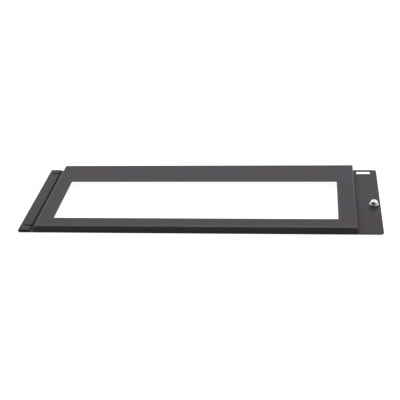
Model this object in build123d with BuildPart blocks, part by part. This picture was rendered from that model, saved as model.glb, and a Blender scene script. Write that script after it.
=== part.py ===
from build123d import *
import os

# Cover plate for a rack cabinet: a raised face with a window, folded from one
# sheet, with a hemmed ear on the left and a slotted ear with a sprung captive
# screw on the right. It lies on its ears. Origin at the middle of the underside,
# +X towards the screw, +Y towards the slot, +Z out of the raised face. Sizes in mm.

# Sheet and overall form
panel_width = 482.6
unit_height = 44.45
unit_count = 4
height_relief = 0.8
sheet = 1.2
bend_inside = 1.0
face_rise = 10.0
left_ear = 23.0
right_ear = 33.3
ear_corner = 4.5

# Window
window_left_margin = 22.0
window_right_margin = 24.0
window_front_margin = 22.2
window_rear_margin = 50.2
window_corner = 0.8

# Hem on the left ear
hem_gap = 0.8
hem_channel = 7.3
hem_setback = 1.8
hem_corner = 1.0
slit_width = 2.4
slit_from_end = 13.8
slit_from_fold = 5.7

# Slot in the right ear
slot_length = 19.4
slot_width = 8.6
slot_from_side = 9.1
slot_from_rear = 3.6
slot_corner = 1.2

# Captive screw
screw_from_side = 8.7
screw_from_front = 75.0
thread_diameter = 5.0
thread_length = 2.8
neck_diameter = 4.0
tip_chamfer = 0.5
tip_lift = 0.2
knob_diameter = 10.0
knob_web = 1.5
knob_skirt = 0.9
knob_crown = 1.3
knob_chamfer = 0.2
flute_count = 24
flute_depth = 0.14
travel = 2.1
stop_clearance = 0.1
seat_clearance = 0.05

# Ferrule that carries the screw
ferrule_diameter = 12.4
ferrule_height = 2.2
ferrule_chamfer = 0.3
well_diameter = 8.8
well_floor = 0.4
barrel_diameter = 8.0
collar_diameter = 6.2
lip_thickness = 0.55
thread_clearance = 0.15
neck_clearance = 0.1

# Spring and the washer it pushes on
wire_diameter = 0.45
spring_clearance = 0.3
spring_turns = 3
wire_facets = 8
washer_thickness = 0.3
washer_clearance = 0.2

# Places that follow from the sizes
panel_height = unit_count * unit_height - height_relief
bend_outside = bend_inside + sheet
side = panel_width / 2
end = panel_height / 2
face_left = -side + left_ear
face_right = side - right_ear
face_under = face_rise - sheet
hem_radius = sheet + hem_gap / 2
hem_fold_x = -side + hem_radius
hem_edge_x = face_left - hem_channel
hem_end = end - hem_setback
screw_x = side - screw_from_side
screw_y = -end + screw_from_front
flange_top = sheet + ferrule_height
well_bottom = sheet + well_floor
knob_bottom = flange_top + travel + stop_clearance
thread_top = tip_lift + thread_length
lip_bottom = thread_top + seat_clearance
collar_top = lip_bottom + lip_thickness
washer_bottom = collar_top + travel + stop_clearance
recess_top = washer_bottom + washer_thickness + seat_clearance
knob_top = recess_top + knob_web
knob_radius = knob_diameter / 2
recess_radius = knob_radius - knob_skirt
washer_radius = recess_radius - washer_clearance
spring_radius = collar_diameter / 2 + spring_clearance + wire_diameter / 2
spring_foot = well_bottom + wire_diameter / 2
spring_head = washer_bottom - wire_diameter / 2

screw_axis = Axis((screw_x, screw_y, 0), (0, 0, 1))
screw_section = Plane(origin=(screw_x, screw_y, 0), x_dir=(1, 0, 0), z_dir=(0, -1, 0))
screw_plan = Plane(origin=(screw_x, screw_y, 0))


def near(value, *targets):
    """True where a coordinate lies on one of the target values."""
    return min(abs(value - target) for target in targets) < 0.001


# The folded plate
with BuildPart() as cover_plate:
    # Cross-section over the width: ear, riser, raised face, riser, ear
    with BuildSketch(Plane.XZ) as section:
        with BuildLine():
            Polyline(
                (hem_fold_x, 0),
                (face_left + sheet, 0),
                (face_left + sheet, face_under),
                (face_right - sheet, face_under),
                (face_right - sheet, 0),
                (side, 0),
                (side, sheet),
                (face_right, sheet),
                (face_right, face_rise),
                (face_left, face_rise),
                (face_left, sheet),
                (hem_fold_x, sheet),
                close=True,
            )
        make_face()
        corners = section.vertices()
        inside = corners.filter_by(lambda v: near(v.X, face_left + sheet, face_right - sheet))
        heels = inside.filter_by(lambda v: near(v.Y, 0))
        hollows = inside.filter_by(lambda v: near(v.Y, face_under))
        feet = corners.filter_by(lambda v: near(v.Y, sheet) and near(v.X, face_left, face_right))
        fillet(heels, radius=bend_outside)
        fillet(hollows + feet, radius=bend_inside)
    extrude(amount=end, both=True)

    # Front and rear walls, turned down from the raised face
    with BuildSketch(Plane.YZ.offset(face_left)) as walls:
        for way in (-1, 1):
            with BuildLine():
                Polyline(
                    (way * end, 0),
                    (way * end, face_rise),
                    (way * (end - 2 * bend_outside), face_rise),
                    (way * (end - 2 * bend_outside), face_under),
                    (way * (end - sheet), face_under),
                    (way * (end - sheet), 0),
                    close=True,
                )
            make_face()
        wall_hollows = walls.vertices().filter_by(
            lambda v: near(v.Y, face_under) and near(abs(v.X), end - sheet)
        )
        fillet(wall_hollows, radius=bend_inside)
    extrude(amount=face_right - face_left)
    fillet(cover_plate.edges().group_by(Axis.Z)[-1], radius=bend_outside)

    # Window through the raised face
    window_width = face_right - face_left - window_left_margin - window_right_margin
    window_depth = panel_height - window_front_margin - window_rear_margin
    with BuildSketch(Plane.XY.offset(face_rise)):
        with Locations((face_left + window_left_margin, -end + window_front_margin)):
            window = Rectangle(window_width, window_depth, align=(Align.MIN, Align.MIN))
        fillet(window.vertices(), radius=window_corner)
    extrude(amount=-2 * sheet, mode=Mode.SUBTRACT)

    # Slot and ferrule hole in the right ear
    with BuildSketch(Plane.XY):
        with Locations((side - slot_from_side, end - slot_from_rear)):
            slot = Rectangle(slot_length, slot_width, align=(Align.MAX, Align.MAX))
        fillet(slot.vertices(), radius=slot_corner)
        with Locations((screw_x, screw_y)):
            Circle(barrel_diameter / 2)
    extrude(amount=sheet, mode=Mode.SUBTRACT)

    # Rounded corners of the ears
    ear_ends = cover_plate.edges().filter_by(Axis.Z).filter_by(lambda e: near(e.center().Z, sheet / 2))
    fillet(ear_ends.filter_by(lambda e: near(e.center().X, side)), radius=ear_corner)
    fillet(ear_ends.filter_by(lambda e: near(e.center().X, hem_fold_x)), radius=hem_corner)

    # Hem: the left ear's sheet is folded back over itself
    with BuildSketch(Plane.XZ):
        with BuildLine():
            Line((hem_edge_x, 2 * hem_radius - sheet), (hem_fold_x, 2 * hem_radius - sheet))
            ThreePointArc(
                (hem_fold_x, 2 * hem_radius - sheet),
                (hem_fold_x - hem_gap / 2, hem_radius),
                (hem_fold_x, sheet),
            )
            Line((hem_fold_x, sheet), (hem_fold_x + sheet, sheet))
            Line((hem_fold_x + sheet, sheet), (hem_fold_x + sheet, 0))
            Line((hem_fold_x + sheet, 0), (hem_fold_x, 0))
            ThreePointArc((hem_fold_x, 0), (-side, hem_radius), (hem_fold_x, 2 * hem_radius))
            Polyline(
                (hem_fold_x, 2 * hem_radius),
                (hem_edge_x, 2 * hem_radius),
                (hem_edge_x, 2 * hem_radius - sheet),
            )
        make_face()
    extrude(amount=hem_end, both=True)

    # Slits that part the hem's end tabs from its tongue
    slit_length = hem_edge_x - (-side + slit_from_fold)
    with BuildSketch(Plane.XY.offset(hem_radius)):
        with Locations((hem_edge_x, slit_from_end - end), (hem_edge_x, end - slit_from_end)):
            Rectangle(slit_length, slit_width, align=(Align.MAX, Align.CENTER))
    extrude(amount=hem_radius, mode=Mode.SUBTRACT)

cover_plate.part.label = "cover_plate"

# Ferrule pressed into the right ear, with a well for the spring round its collar
with BuildPart() as screw_ferrule:
    with BuildSketch(screw_section) as ferrule_profile:
        with BuildLine():
            Polyline(
                (thread_diameter / 2 + thread_clearance, 0),
                (barrel_diameter / 2, 0),
                (barrel_diameter / 2, sheet),
                (ferrule_diameter / 2, sheet),
                (ferrule_diameter / 2, flange_top),
                (well_diameter / 2, flange_top),
                (well_diameter / 2, well_bottom),
                (collar_diameter / 2, well_bottom),
                (collar_diameter / 2, collar_top),
                (neck_diameter / 2 + neck_clearance, collar_top),
                (neck_diameter / 2 + neck_clearance, lip_bottom),
                (thread_diameter / 2 + thread_clearance, lip_bottom),
                close=True,
            )
        make_face()
        rims = ferrule_profile.vertices().filter_by(
            lambda v: near(v.X, well_diameter / 2, ferrule_diameter / 2) and near(v.Y, flange_top)
        )
        chamfer(rims, length=ferrule_chamfer)
    revolve(axis=screw_axis)
screw_ferrule.part.label = "screw_ferrule"

# Captive screw, raised as far as the ferrule lets it go
with BuildPart() as captive_screw:
    with BuildSketch(screw_section) as screw_profile:
        with BuildLine():
            Polyline(
                (0, tip_lift),
                (thread_diameter / 2, tip_lift),
                (thread_diameter / 2, thread_top),
                (neck_diameter / 2, thread_top),
                (neck_diameter / 2, recess_top),
                (recess_radius, recess_top),
                (recess_radius, knob_bottom),
                (knob_radius, knob_bottom),
                (knob_radius, knob_top),
                (0, knob_top),
                close=True,
            )
        make_face()
        corners = screw_profile.vertices()
        tip = corners.filter_by(lambda v: near(v.X, thread_diameter / 2) and near(v.Y, tip_lift))
        crown = corners.filter_by(lambda v: near(v.X, knob_radius) and near(v.Y, knob_top))
        skirt_rim = corners.filter_by(lambda v: near(v.X, knob_radius) and near(v.Y, knob_bottom))
        chamfer(tip, length=tip_chamfer)
        chamfer(crown, length=knob_crown)
        chamfer(skirt_rim, length=knob_chamfer)
    revolve(axis=screw_axis)

    # Straight flutes round the knob
    with BuildSketch(screw_plan.offset(knob_bottom)):
        with PolarLocations(knob_radius + flute_depth / 3, flute_count, rotate=True):
            Rectangle(flute_depth, flute_depth, rotation=45)
    extrude(amount=knob_top - knob_bottom, mode=Mode.SUBTRACT)
captive_screw.part.label = "captive_screw"

# Washer between the spring and the knob
with BuildPart() as thrust_washer:
    with BuildSketch(screw_plan.offset(washer_bottom)):
        Circle(washer_radius)
        Circle(neck_diameter / 2 + neck_clearance, mode=Mode.SUBTRACT)
    extrude(amount=washer_thickness)
thrust_washer.part.label = "thrust_washer"

# Compression spring in the ferrule's well, its round wire drawn with flats
with BuildPart() as screw_spring:
    with BuildLine(screw_plan.offset(spring_foot)) as coil:
        Helix(
            pitch=(spring_head - spring_foot) / spring_turns,
            height=spring_head - spring_foot,
            radius=spring_radius,
        )
    with BuildSketch(Plane(origin=coil.line @ 0, z_dir=coil.line % 0)):
        RegularPolygon(wire_diameter / 2, wire_facets)
    sweep(is_frenet=True)
screw_spring.part.label = "screw_spring"

os.makedirs("parts", exist_ok=True)
for piece in (cover_plate, screw_ferrule, captive_screw, thrust_washer, screw_spring):
    export_step(piece.part, f"parts/{piece.part.label}.step")
    print(piece.part.label, round(piece.part.volume, 1), piece.part.bounding_box())
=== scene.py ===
import math

import bpy
from mathutils import Matrix, Vector


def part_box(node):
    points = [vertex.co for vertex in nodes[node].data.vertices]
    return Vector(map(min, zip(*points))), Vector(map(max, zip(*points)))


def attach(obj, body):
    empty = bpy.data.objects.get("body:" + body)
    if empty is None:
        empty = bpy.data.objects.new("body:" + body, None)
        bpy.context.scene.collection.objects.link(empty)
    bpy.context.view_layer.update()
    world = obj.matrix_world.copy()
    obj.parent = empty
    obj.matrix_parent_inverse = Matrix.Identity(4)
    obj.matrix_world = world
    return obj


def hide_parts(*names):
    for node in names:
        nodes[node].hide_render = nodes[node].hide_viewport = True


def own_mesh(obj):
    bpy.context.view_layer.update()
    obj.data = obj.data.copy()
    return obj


mm = 0.001

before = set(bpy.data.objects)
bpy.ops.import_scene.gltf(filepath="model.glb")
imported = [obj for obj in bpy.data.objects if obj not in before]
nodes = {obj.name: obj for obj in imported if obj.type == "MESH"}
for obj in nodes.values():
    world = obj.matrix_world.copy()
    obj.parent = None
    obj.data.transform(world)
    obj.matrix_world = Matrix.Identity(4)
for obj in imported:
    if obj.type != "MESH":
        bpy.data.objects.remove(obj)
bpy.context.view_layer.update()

plateLow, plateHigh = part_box("cover_plate")
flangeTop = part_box("screw_ferrule")[1].z
knobLow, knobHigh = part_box("captive_screw")
springLow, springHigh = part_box("screw_spring")
screwX = (knobLow.x + knobHigh.x) / 2
screwY = (knobLow.y + knobHigh.y) / 2
print("frame loaded:", ", ".join(sorted(nodes)))


class Signal:
    # a node's output, so that shader maths reads as a plain expression
    def __init__(self, finish, socket):
        self.finish = finish
        self.socket = socket

    def maths(self, operation, first, second):
        return self.finish.node("ShaderNodeMath", {"operation": operation}, {0: first, 1: second})

    def __add__(self, other):
        return self.maths("ADD", self, other)

    def __radd__(self, other):
        return self.maths("ADD", other, self)

    def __sub__(self, other):
        return self.maths("SUBTRACT", self, other)

    def __rsub__(self, other):
        return self.maths("SUBTRACT", other, self)

    def __mul__(self, other):
        return self.maths("MULTIPLY", self, other)

    def __rmul__(self, other):
        return self.maths("MULTIPLY", other, self)

    def __truediv__(self, other):
        return self.maths("DIVIDE", self, other)

    def __rtruediv__(self, other):
        return self.maths("DIVIDE", other, self)

    def __pow__(self, other):
        return self.maths("POWER", self, other)

    def __rpow__(self, other):
        return self.maths("POWER", other, self)


class Finish:
    # the nodes of one material, or of the world
    def __init__(self, owner):
        self.owner = owner
        owner.use_nodes = True
        self.tree = owner.node_tree
        self.tree.nodes.clear()

    def node(self, kind, settings=None, values=None, output=0):
        made = self.tree.nodes.new(kind)
        for name, value in (settings or {}).items():
            setattr(made, name, value)
        for name, value in (values or {}).items():
            if isinstance(value, Signal):
                self.tree.links.new(value.socket, made.inputs[name])
            else:
                made.inputs[name].default_value = value
        return Signal(self, made.outputs[output]) if made.outputs else None

    def place(self):
        return self.node("ShaderNodeTexCoord", output="Object")

    def stretch(self, vector, scale):
        return self.node("ShaderNodeVectorMath", {"operation": "MULTIPLY"}, {0: vector, 1: scale})

    def axes(self, vector):
        split = self.node("ShaderNodeSeparateXYZ", values={0: vector}).socket.node
        return [Signal(self, socket) for socket in split.outputs]

    def noise(self, vector, size, detail=2.0, roughness=0.5):
        # size is the grain's own size on the surface, in metres
        return self.node(
            "ShaderNodeTexNoise",
            values={"Vector": vector, "Scale": 1 / size, "Detail": detail, "Roughness": roughness},
        )

    def ramp(self, value, low, high, start=0.0, stop=1.0):
        return self.node(
            "ShaderNodeMapRange",
            {"clamp": True},
            {"Value": value, "From Min": low, "From Max": high, "To Min": start, "To Max": stop},
        )

    def size(self, value):
        return self.node("ShaderNodeMath", {"operation": "ABSOLUTE"}, {0: value})

    def least(self, first, second):
        return self.node("ShaderNodeMath", {"operation": "MINIMUM"}, {0: first, 1: second})

    def most(self, first, second):
        return self.node("ShaderNodeMath", {"operation": "MAXIMUM"}, {0: first, 1: second})

    def band(self, value, centre, reach, fade):
        # 1 within reach of the centre, falling to 0 over the fade
        return self.ramp(self.size(value - centre), reach, reach + fade, 1.0, 0.0)

    def mix(self, share, first, second):
        return self.node(
            "ShaderNodeMix",
            {"data_type": "RGBA"},
            {"Factor": share, 6: first, 7: second},
            output=2,
        )

    def bump(self, height, depth, strength=1.0, under=None):
        values = {"Height": height, "Distance": depth, "Strength": strength}
        if under is not None:
            values["Normal"] = under
        return self.node("ShaderNodeBump", values=values)

    def lightPath(self):
        # 1 for what the camera sees itself, and 1 for what it sees in metal or glass
        path = self.node("ShaderNodeLightPath").socket.node
        camera, glossy, through = (
            Signal(self, path.outputs[name])
            for name in ("Is Camera Ray", "Is Glossy Ray", "Is Transmission Ray")
        )
        return camera, self.most(glossy, through)

    def end(self, shader, kind="ShaderNodeOutputMaterial"):
        self.node(kind, values={"Surface": shader})
        return self.owner


def newFinish(name):
    return Finish(bpy.data.materials.new(name))


# powder coat on the plate: charcoal with fine orange peel and faint clouding, darker on
# the ears, with painted highlights at the bends and painted shade where the folds hide it
coatLook = {
    "warm": (0.077, 0.0675, 0.073, 1),
    "cool": (0.072, 0.068, 0.077, 1),
    # lighter coat, used both for painted highlights and for paint rubbed thin at the edges
    "paintedHighlightAndRub": (0.190, 0.184, 0.189, 1),
    # dark coat, used for painted shade and for the ears' darkening
    "darkCoat": (0.018, 0.017, 0.018, 1),
    "cloudSize": 60 * mm,
    "cloudSpread": (0.38, 0.62),
    # its surface
    "roughness": (0.5, 0.62),
    "glossSize": 5 * mm,
    "specular": 0.15,
    "peelSize": 0.9 * mm,
    "peelDepth": 0.14 * mm,
    "peelStrength": 0.6,
    "grainSize": 0.25 * mm,
    "grainShare": 0.35,
    # where the plate's folds and openings lie
    "hemEdge": -225.6 * mm,
    "bendLeft": -218.3 * mm,
    "bendRight": 208.0 * mm,
    "bendRadius": 2.2 * mm,
    "slitPlace": 74.7 * mm,  # from the middle, front and rear
    "windowSides": (-196.3 * mm, 184.0 * mm),
    "windowEnds": (-66.3 * mm, 38.3 * mm),
    # heights, as pairs from and to
    "earHeights": (3.6 * mm, 9 * mm),
    "hemHeights": (2.95 * mm, 3.15 * mm),
    "bendHeights": (6.5 * mm, 8 * mm),
    "footHeights": (0.3 * mm, 1.5 * mm),
    # ears darker, less so from the middle rearwards
    "earDarkening": 0.22,
    "earDarkeningRear": 0.25,
    # painted shade in the channel, the slits and at the foot of the right riser
    "channelShare": 0.65,
    "channelFade": 0.4 * mm,
    "slitBand": (1.3 * mm, 0.2 * mm),  # reach and fade
    "slitHead": (1 * mm, 2 * mm),  # from the bend
    "hemFold": (2 * mm, 3 * mm),  # from the plate's side
    "hemLine": (0.15 * mm, 0.1 * mm),  # the hem's edge is left out of the painted shade
    "hemMouth": (1.8 * mm, 4.8 * mm),  # from the plate's ends, where light gets in
    "footBand": (1.2 * mm, 4 * mm),
    "footShare": 0.15,
    # painted highlight along each bend: offset, reach and fade in bend radii, then strength
    "highlightStrength": 0.9,
    "leftHighlight": (0.15, 0.5, 0.45, 1.0),
    "rightHighlight": (-0.2, 0.3, 0.4, 0.75),
    "frontHighlight": (1.1, 0.25, 0.5, 0.5),
    "rimWidth": (1.5 * mm, 4 * mm),
    "rimHighlight": 0.1,
    "highlightPatchSize": 26 * mm,
    # paint rubbed along the outer edges
    "rubbed": 0.3,
    "rubbedGloss": 0.15,
    "rubWidth": 1.6 * mm,
    "rubSize": 9 * mm,
    "rubSpread": (0.48, 0.7),
}


def paintedShadePlaces(finish, x, y, z, toEnd):
    # painted shade: the coat darkened in the hem's channel and slits and at the right riser's foot
    look = coatLook
    bend = look["bendLeft"]
    inChannel = finish.ramp(x, bend, bend + look["channelFade"], look["channelShare"], 0.0)
    inSlits = finish.band(finish.size(y), look["slitPlace"], *look["slitBand"])
    inSlits = inSlits * finish.ramp(bend - x, *look["slitHead"])
    inFold = finish.ramp(x - plateLow.x, *look["hemFold"])
    inFold = inFold - finish.band(x, look["hemEdge"], *look["hemLine"])
    inFold = inFold * finish.ramp(toEnd, *look["hemMouth"])
    atFoot = finish.band(x, look["bendRight"], *look["footBand"]) * look["footShare"]
    underHem = finish.ramp(z, *look["hemHeights"], 1.0, 0.0)
    return finish.most(finish.most(inChannel, inSlits) * inFold, atFoot) * underHem


def highlightAlong(finish, value, bend, marks):
    offset, reach, fade, strength = marks
    radius = coatLook["bendRadius"]
    return finish.band(value, bend + offset * radius, reach * radius, fade * radius) * strength


def paintedHighlightPlaces(finish, place, x, y, z):
    # painted highlights: lighter coat along the bends and round the window's rim, in patches
    look = coatLook
    leftBend = highlightAlong(finish, x, look["bendLeft"], look["leftHighlight"])
    rightBend = highlightAlong(finish, x, look["bendRight"], look["rightHighlight"])
    frontBend = highlightAlong(finish, y, plateLow.y, look["frontHighlight"])
    # and, more faintly, the rim of the window
    left, right = look["windowSides"]
    front, rear = look["windowEnds"]
    beyondSides = finish.size(x - (left + right) / 2) - (right - left) / 2
    beyondEnds = finish.size(y - (front + rear) / 2) - (rear - front) / 2
    beyond = finish.most(beyondSides, beyondEnds)
    rim = finish.ramp(beyond, *look["rimWidth"], look["rimHighlight"], 0.0)
    bends = finish.most(finish.most(leftBend, rightBend), finish.most(frontBend, rim))
    patchy = finish.ramp(finish.noise(place, look["highlightPatchSize"], 3.0, 0.6), 0.3, 0.62, 0.55, 1.0)
    return bends * finish.ramp(z, *look["bendHeights"]) * patchy * look["highlightStrength"]


def rubbedPlaces(finish, place, x, z, toEnd):
    # polished by hands along the ears' outer edges and the feet of the walls
    look = coatLook
    toSide = plateHigh.x - finish.size(x)
    nearEdge = finish.ramp(finish.least(toSide, toEnd), 0.0, look["rubWidth"], 1.0, 0.0)
    middle = (look["bendLeft"] + look["bendRight"]) / 2
    half = (look["bendRight"] - look["bendLeft"]) / 2
    onEars = finish.ramp(finish.size(x - middle) - half, 0.0, 0.5 * mm)
    atFeet = finish.ramp(z, *look["footHeights"], 1.0, 0.0)
    patches = finish.ramp(finish.noise(place, look["rubSize"], 4.0, 0.6), *look["rubSpread"])
    return nearEdge * finish.most(onEars, atFeet) * patches * look["rubbed"]


def powderCoat():
    look = coatLook
    finish = newFinish("powderCoat")
    place = finish.place()
    x, y, z = finish.axes(place)
    toEnd = plateHigh.y - finish.size(y)

    clouds = finish.noise(place, look["cloudSize"], 3.0)
    colour = finish.mix(finish.ramp(clouds, *look["cloudSpread"]), look["warm"], look["cool"])
    # the ears darker, most towards the front
    low = finish.ramp(z, *look["earHeights"], 1.0, 0.0)
    fore = finish.ramp(y, plateLow.y, 0.0, 1.0, look["earDarkeningRear"])
    colour = finish.mix(low * fore * look["earDarkening"], colour, look["darkCoat"])
    # painted shade in the hem's folds, the slits and at the right riser's foot
    colour = finish.mix(paintedShadePlaces(finish, x, y, z, toEnd), colour, look["darkCoat"])
    # painted highlights at the bends and window rim, and real rubbing at the edges, share one
    # lighter colour
    paintedHighlightAndRub = paintedHighlightPlaces(finish, place, x, y, z)
    rubbed = rubbedPlaces(finish, place, x, z, toEnd)
    colour = finish.mix(finish.most(paintedHighlightAndRub, rubbed), colour, look["paintedHighlightAndRub"])

    peel = finish.noise(place, look["peelSize"], 2.0)
    grain = finish.noise(place, look["grainSize"], 1.0)
    relief = peel + grain * look["grainShare"]
    gloss = finish.noise(place, look["glossSize"], 3.0)
    roughness = finish.ramp(gloss, 0.3, 0.7, *look["roughness"]) - rubbed * look["rubbedGloss"]
    shader = finish.node(
        "ShaderNodeBsdfPrincipled",
        values={
            "Base Color": colour,
            "Roughness": roughness,
            "Specular IOR Level": look["specular"],
            "Normal": finish.bump(relief, look["peelDepth"], look["peelStrength"]),
        },
    )
    return finish.end(shader)


# bright nickel on the screw and its ferrule: faint turned rings and smears, painted shade
# round the ferrule's foot, with the screw's thread as relief
nickelLook = {
    "bright": (0.92, 0.92, 0.93, 1),
    "smeared": (0.82, 0.82, 0.84, 1),
    "footShadeTone": (0.25, 0.25, 0.26, 1),
    "smearSize": 2.2 * mm,
    "smearStretch": (1.0, 1.0, 2.5),
    "smearSpread": (0.4, 0.7),
    "footShadeShare": 0.8,
    "footShadeHeights": (-1.6 * mm, -0.6 * mm),  # from the flange's top
    "footShadeRadii": (5.4 * mm, 5.9 * mm),
    "ringPitch": 0.16 * mm,
    "ringDepth": 0.002 * mm,
    "ringStrength": 0.4,
    "threadPitch": 0.8 * mm,
    "threadDepth": 0.25 * mm,
    "threadRadius": 2.5 * mm,
    "threadTop": 3.0 * mm,
    "threadFade": 0.1 * mm,
}


def distanceFromAxis(finish, place):
    # how far a point lies from the screw's axis, in metres
    x, y, _ = finish.axes(place)
    return ((x - screwX) ** 2 + (y - screwY) ** 2) ** 0.5


def threadRelief(finish, place, radius):
    # a helix round the shank: 1 at a crest, 0 in a root
    look = nickelLook
    top, fade = look["threadTop"], look["threadFade"]
    x, y, z = finish.axes(place)
    turn = finish.node("ShaderNodeMath", {"operation": "ARCTAN2"}, {0: y - screwY, 1: x - screwX})
    phase = z / look["threadPitch"] - turn / (2 * math.pi)
    crest = finish.node("ShaderNodeMath", {"operation": "PINGPONG"}, {0: phase, 1: 0.5}) * 2
    onShank = finish.band(radius, look["threadRadius"], fade, fade)
    return crest * onShank * finish.ramp(z, top - fade, top, 1.0, 0.0)


def nickel(name, smooth, rough, threaded=False):
    look = nickelLook
    finish = newFinish(name)
    place = finish.place()
    _, _, z = finish.axes(place)
    radius = distanceFromAxis(finish, place)
    stretched = finish.stretch(place, look["smearStretch"])
    smears = finish.noise(stretched, look["smearSize"], 3.0, 0.55)
    smeared = finish.ramp(smears, *look["smearSpread"])
    # painted shade: darker metal round the ferrule's foot
    foot = finish.ramp(z - flangeTop, *look["footShadeHeights"], 1.0, 0.0)
    shadeAtFoot = foot * finish.ramp(radius, *look["footShadeRadii"]) * look["footShadeShare"]
    colour = finish.mix(smeared, look["bright"], look["smeared"])
    colour = finish.mix(shadeAtFoot, colour, look["footShadeTone"])
    rings = finish.node(
        "ShaderNodeMath", {"operation": "SINE"}, {0: radius * (2 * math.pi / look["ringPitch"])}
    )
    surface = finish.bump(rings, look["ringDepth"], look["ringStrength"])
    if threaded:
        relief = threadRelief(finish, place, radius)
        surface = finish.bump(relief, look["threadDepth"], under=surface)
    shader = finish.node(
        "ShaderNodeBsdfPrincipled",
        values={
            "Base Color": colour,
            "Metallic": 1.0,
            "Roughness": finish.ramp(smears, 0.35, 0.7, smooth, rough),
            "Normal": surface,
        },
    )
    return finish.end(shader)


# zinc plated washer, dull and slightly spotted
washerLook = {
    "clean": (0.62, 0.62, 0.63, 1),
    "spotted": (0.5, 0.51, 0.53, 1),
    "spotSize": 0.7 * mm,
    "spotDepth": 0.01 * mm,
    "roughness": (0.3, 0.45),
}


def zincPlate():
    look = washerLook
    finish = newFinish("zincPlate")
    spots = finish.noise(finish.place(), look["spotSize"], 3.0)
    shader = finish.node(
        "ShaderNodeBsdfPrincipled",
        values={
            "Base Color": finish.mix(finish.ramp(spots, 0.4, 0.6), look["clean"], look["spotted"]),
            "Metallic": 1.0,
            "Roughness": finish.ramp(spots, 0.3, 0.7, *look["roughness"]),
            "Normal": finish.bump(spots, look["spotDepth"], 0.4),
        },
    )
    return finish.end(shader)


# drawn stainless wire, with fine lines along its turns
wireLook = {
    "plain": (0.62, 0.62, 0.63, 1),
    "drawn": (0.52, 0.52, 0.54, 1),
    "lineSize": 0.5 * mm,
    "lineStretch": (1.0, 1.0, 6.0),
    "lineDepth": 0.006 * mm,
    "roughness": (0.22, 0.34),
}


def drawnWire():
    look = wireLook
    finish = newFinish("drawnWire")
    lines = finish.noise(finish.stretch(finish.place(), look["lineStretch"]), look["lineSize"])
    shader = finish.node(
        "ShaderNodeBsdfPrincipled",
        values={
            "Base Color": finish.mix(finish.ramp(lines, 0.4, 0.6), look["plain"], look["drawn"]),
            "Metallic": 1.0,
            "Roughness": finish.ramp(lines, 0.3, 0.7, *look["roughness"]),
            "Normal": finish.bump(lines, look["lineDepth"], 0.4),
        },
    )
    return finish.end(shader)


finishes = {
    "cover_plate": powderCoat(),
    "screw_ferrule": nickel("satinNickel", 0.38, 0.5),
    "captive_screw": nickel("brightNickel", 0.08, 0.18, threaded=True),
    "thrust_washer": zincPlate(),
}
for name, material in finishes.items():
    for slot in nodes[name].material_slots:
        slot.material = material
print("finishes made:", len(finishes))


# rounding too fine for the solids: sheared sheet edges and turned rims
edgeRounding = {
    "cover_plate": {"width": 0.18 * mm, "angle": 40},
    "screw_ferrule": {"width": 0.10 * mm, "angle": 35},
    "captive_screw": {"width": 0.10 * mm, "angle": 35},
}


def roundEdges(piece, settings):
    weld = piece.modifiers.new("weldedFaces", "WELD")
    weld.merge_threshold = 0.001 * mm
    bevel = piece.modifiers.new("edgeRounding", "BEVEL")
    bevel.width = settings["width"]
    bevel.segments = 2
    bevel.limit_method = "ANGLE"
    bevel.angle_limit = math.radians(settings["angle"])
    bevel.harden_normals = True
    bevel.use_clamp_overlap = True


for name, settings in edgeRounding.items():
    roundEdges(nodes[name], settings)
print("edges rounded:", len(edgeRounding))


# round-wire spring in place of the flat-sided one
springShape = {
    "wire": 0.45 * mm,
    "turns": 3,
    "restingTurns": 0.5,  # at each end, lying nearly flat
    "evenRise": 0.1,  # share of the height that all turns climb alike
    "stepsPerTurn": 24,
    "travel": 2.1 * mm,
}


def springLine():
    # the middle of the wire, from its foot to its head
    shape = springShape
    wireRadius = shape["wire"] / 2
    coilRadius = (springHigh.x - springLow.x) / 2 - wireRadius
    foot, head = springLow.z + wireRadius, springHigh.z - wireRadius
    turns, resting, evenRise = shape["turns"], shape["restingTurns"], shape["evenRise"]
    steps = turns * shape["stepsPerTurn"]
    for index in range(steps + 1):
        turn = turns * index / steps
        angle = 2 * math.pi * turn
        free = min(max((turn - resting) / (turns - 2 * resting), 0), 1)
        rise = free * (1 - evenRise) + evenRise * turn / turns
        yield (
            screwX + coilRadius * math.cos(angle),
            screwY + coilRadius * math.sin(angle),
            foot + (head - foot) * rise,
            1,
        )


def springWire():
    curve = bpy.data.curves.new("screwSpring", "CURVE")
    curve.dimensions = "3D"
    curve.bevel_depth = springShape["wire"] / 2
    curve.bevel_resolution = 4
    curve.use_fill_caps = True
    places = list(springLine())
    line = curve.splines.new("POLY")
    line.points.add(len(places) - 1)
    for point, place in zip(line.points, places):
        point.co = place
    drawn = bpy.data.objects.new("springDrawn", curve)
    bpy.context.scene.collection.objects.link(drawn)
    bpy.context.view_layer.update()
    mesh = bpy.data.meshes.new_from_object(drawn)
    bpy.data.objects.remove(drawn)
    mesh.materials.clear()
    mesh.materials.append(drawnWire())
    mesh.shade_smooth()
    spring = bpy.data.objects.new("spring_wire", mesh)
    bpy.context.scene.collection.objects.link(spring)
    return spring


spring = springWire()
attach(spring, "plate")
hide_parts("screw_spring")
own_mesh(spring)
print("spring wound")


# studio: white all round, with a broad light high on the left and a narrow one behind
studio = {
    "floorSize": 30.0,
    "floorDrop": 0.05 * mm,
    "floorLit": 0.35,
    "floorBounce": 0.3,
    "floorGlow": 0.955,
    "fill": 0.22,
    "darkSide": 0.06,  # what polished metal finds behind the camera
    "darkReach": (-0.42, 0.05),
    "darkTurn": 0.35,  # towards the left
    "lights": [
        {"name": "leftLight", "from": (-0.6, 0.15, 1.0), "spread": 65, "strength": 1.13},
        {"name": "backLight", "from": (0.19, 1.0, 0.385), "spread": 10, "strength": 3.05},
    ],
}


def grey(tone):
    return (tone, tone, tone, 1)


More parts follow.
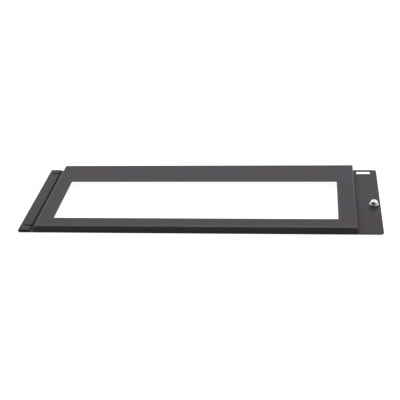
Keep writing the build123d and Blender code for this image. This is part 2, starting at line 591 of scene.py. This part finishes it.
def studioFloor():
    size = studio["floorSize"] / 2
    mesh = bpy.data.meshes.new("studioFloor")
    corners = [(-size, -size, 0), (size, -size, 0), (size, size, 0), (-size, size, 0)]
    mesh.from_pydata(corners, [], [(0, 1, 2, 3)])
    floor = bpy.data.objects.new("studio_floor", mesh)
    floor.location.z = plateLow.z - studio["floorDrop"]
    bpy.context.scene.collection.objects.link(floor)

    # the camera and metal see it white with the object's shadow; light bounces off plain grey
    finish = newFinish("paleFloor")
    lit = finish.node("ShaderNodeBsdfDiffuse", values={"Color": grey(studio["floorLit"])})
    glow = finish.node("ShaderNodeEmission", values={"Strength": studio["floorGlow"]})
    shown = finish.node("ShaderNodeAddShader", values={0: lit, 1: glow})
    plain = finish.node("ShaderNodeBsdfDiffuse", values={"Color": grey(studio["floorBounce"])})
    camera, mirrored = finish.lightPath()
    joined = finish.node("ShaderNodeMixShader", values={0: camera + mirrored, 1: plain, 2: shown})
    floor.data.materials.append(finish.end(joined))


def studioWorld():
    world = bpy.data.worlds.new("studioWorld")
    bpy.context.scene.world = world
    finish = Finish(world)
    camera, mirrored = finish.lightPath()
    x, y, _ = finish.axes(finish.node("ShaderNodeTexCoord", output="Generated"))
    ahead = y + x * studio["darkTurn"]
    seenInMetal = finish.ramp(ahead, *studio["darkReach"], studio["darkSide"], 1.0)
    lighting = 1 - camera - mirrored
    strength = camera + mirrored * seenInMetal + lighting * studio["fill"]
    finish.end(
        finish.node("ShaderNodeBackground", values={"Color": grey(1), "Strength": strength}),
        "ShaderNodeOutputWorld",
    )


def distantLight(settings):
    light = bpy.data.lights.new(settings["name"], "SUN")
    light.angle = math.radians(settings["spread"])
    light.energy = settings["strength"]
    holder = bpy.data.objects.new(settings["name"], light)
    holder.rotation_mode = "QUATERNION"
    holder.rotation_quaternion = Vector(settings["from"]).to_track_quat("Z", "Y")
    holder.visible_glossy = False  # metal mirrors the white studio alone
    bpy.context.scene.collection.objects.link(holder)


studioFloor()
studioWorld()
for settings in studio["lights"]:
    distantLight(settings)
print("studio lit")


# camera, as the photograph was taken: in front, a little to the right and slightly rolled
cameraView = {
    "place": (151.6 * mm, -1050.5 * mm, 591.8 * mm),
    "yaw": 8.03,
    "pitch": 29.13,
    "roll": -3.80,
    "focal": 872.6,  # in pixels of the square picture
    "picture": 400,
    "sensor": 36.0,
    "shift": -0.015,
}


def photoCamera():
    view = cameraView
    yaw, pitch, roll = (math.radians(view[name]) for name in ("yaw", "pitch", "roll"))
    ahead = Vector(
        (-math.sin(yaw) * math.cos(pitch), math.cos(yaw) * math.cos(pitch), -math.sin(pitch))
    )
    levelRight = Vector((math.cos(yaw), math.sin(yaw), 0))
    levelUp = levelRight.cross(ahead)
    right = levelRight * math.cos(roll) + levelUp * math.sin(roll)
    up = levelUp * math.cos(roll) - levelRight * math.sin(roll)
    camera = bpy.data.cameras.new("photoCamera")
    camera.sensor_width = view["sensor"]
    camera.lens = view["focal"] / view["picture"] * view["sensor"]
    camera.shift_x = view["shift"]
    camera.clip_start, camera.clip_end = 0.01, 100
    holder = bpy.data.objects.new("photoCamera", camera)
    turned = Matrix((right, up, -ahead)).transposed().to_4x4()
    turned.translation = Vector(view["place"])
    holder.matrix_world = turned
    bpy.context.scene.collection.objects.link(holder)
    bpy.context.scene.camera = holder


photoCamera()
bpy.context.scene.view_settings.view_transform = "Standard"
print("camera placed")
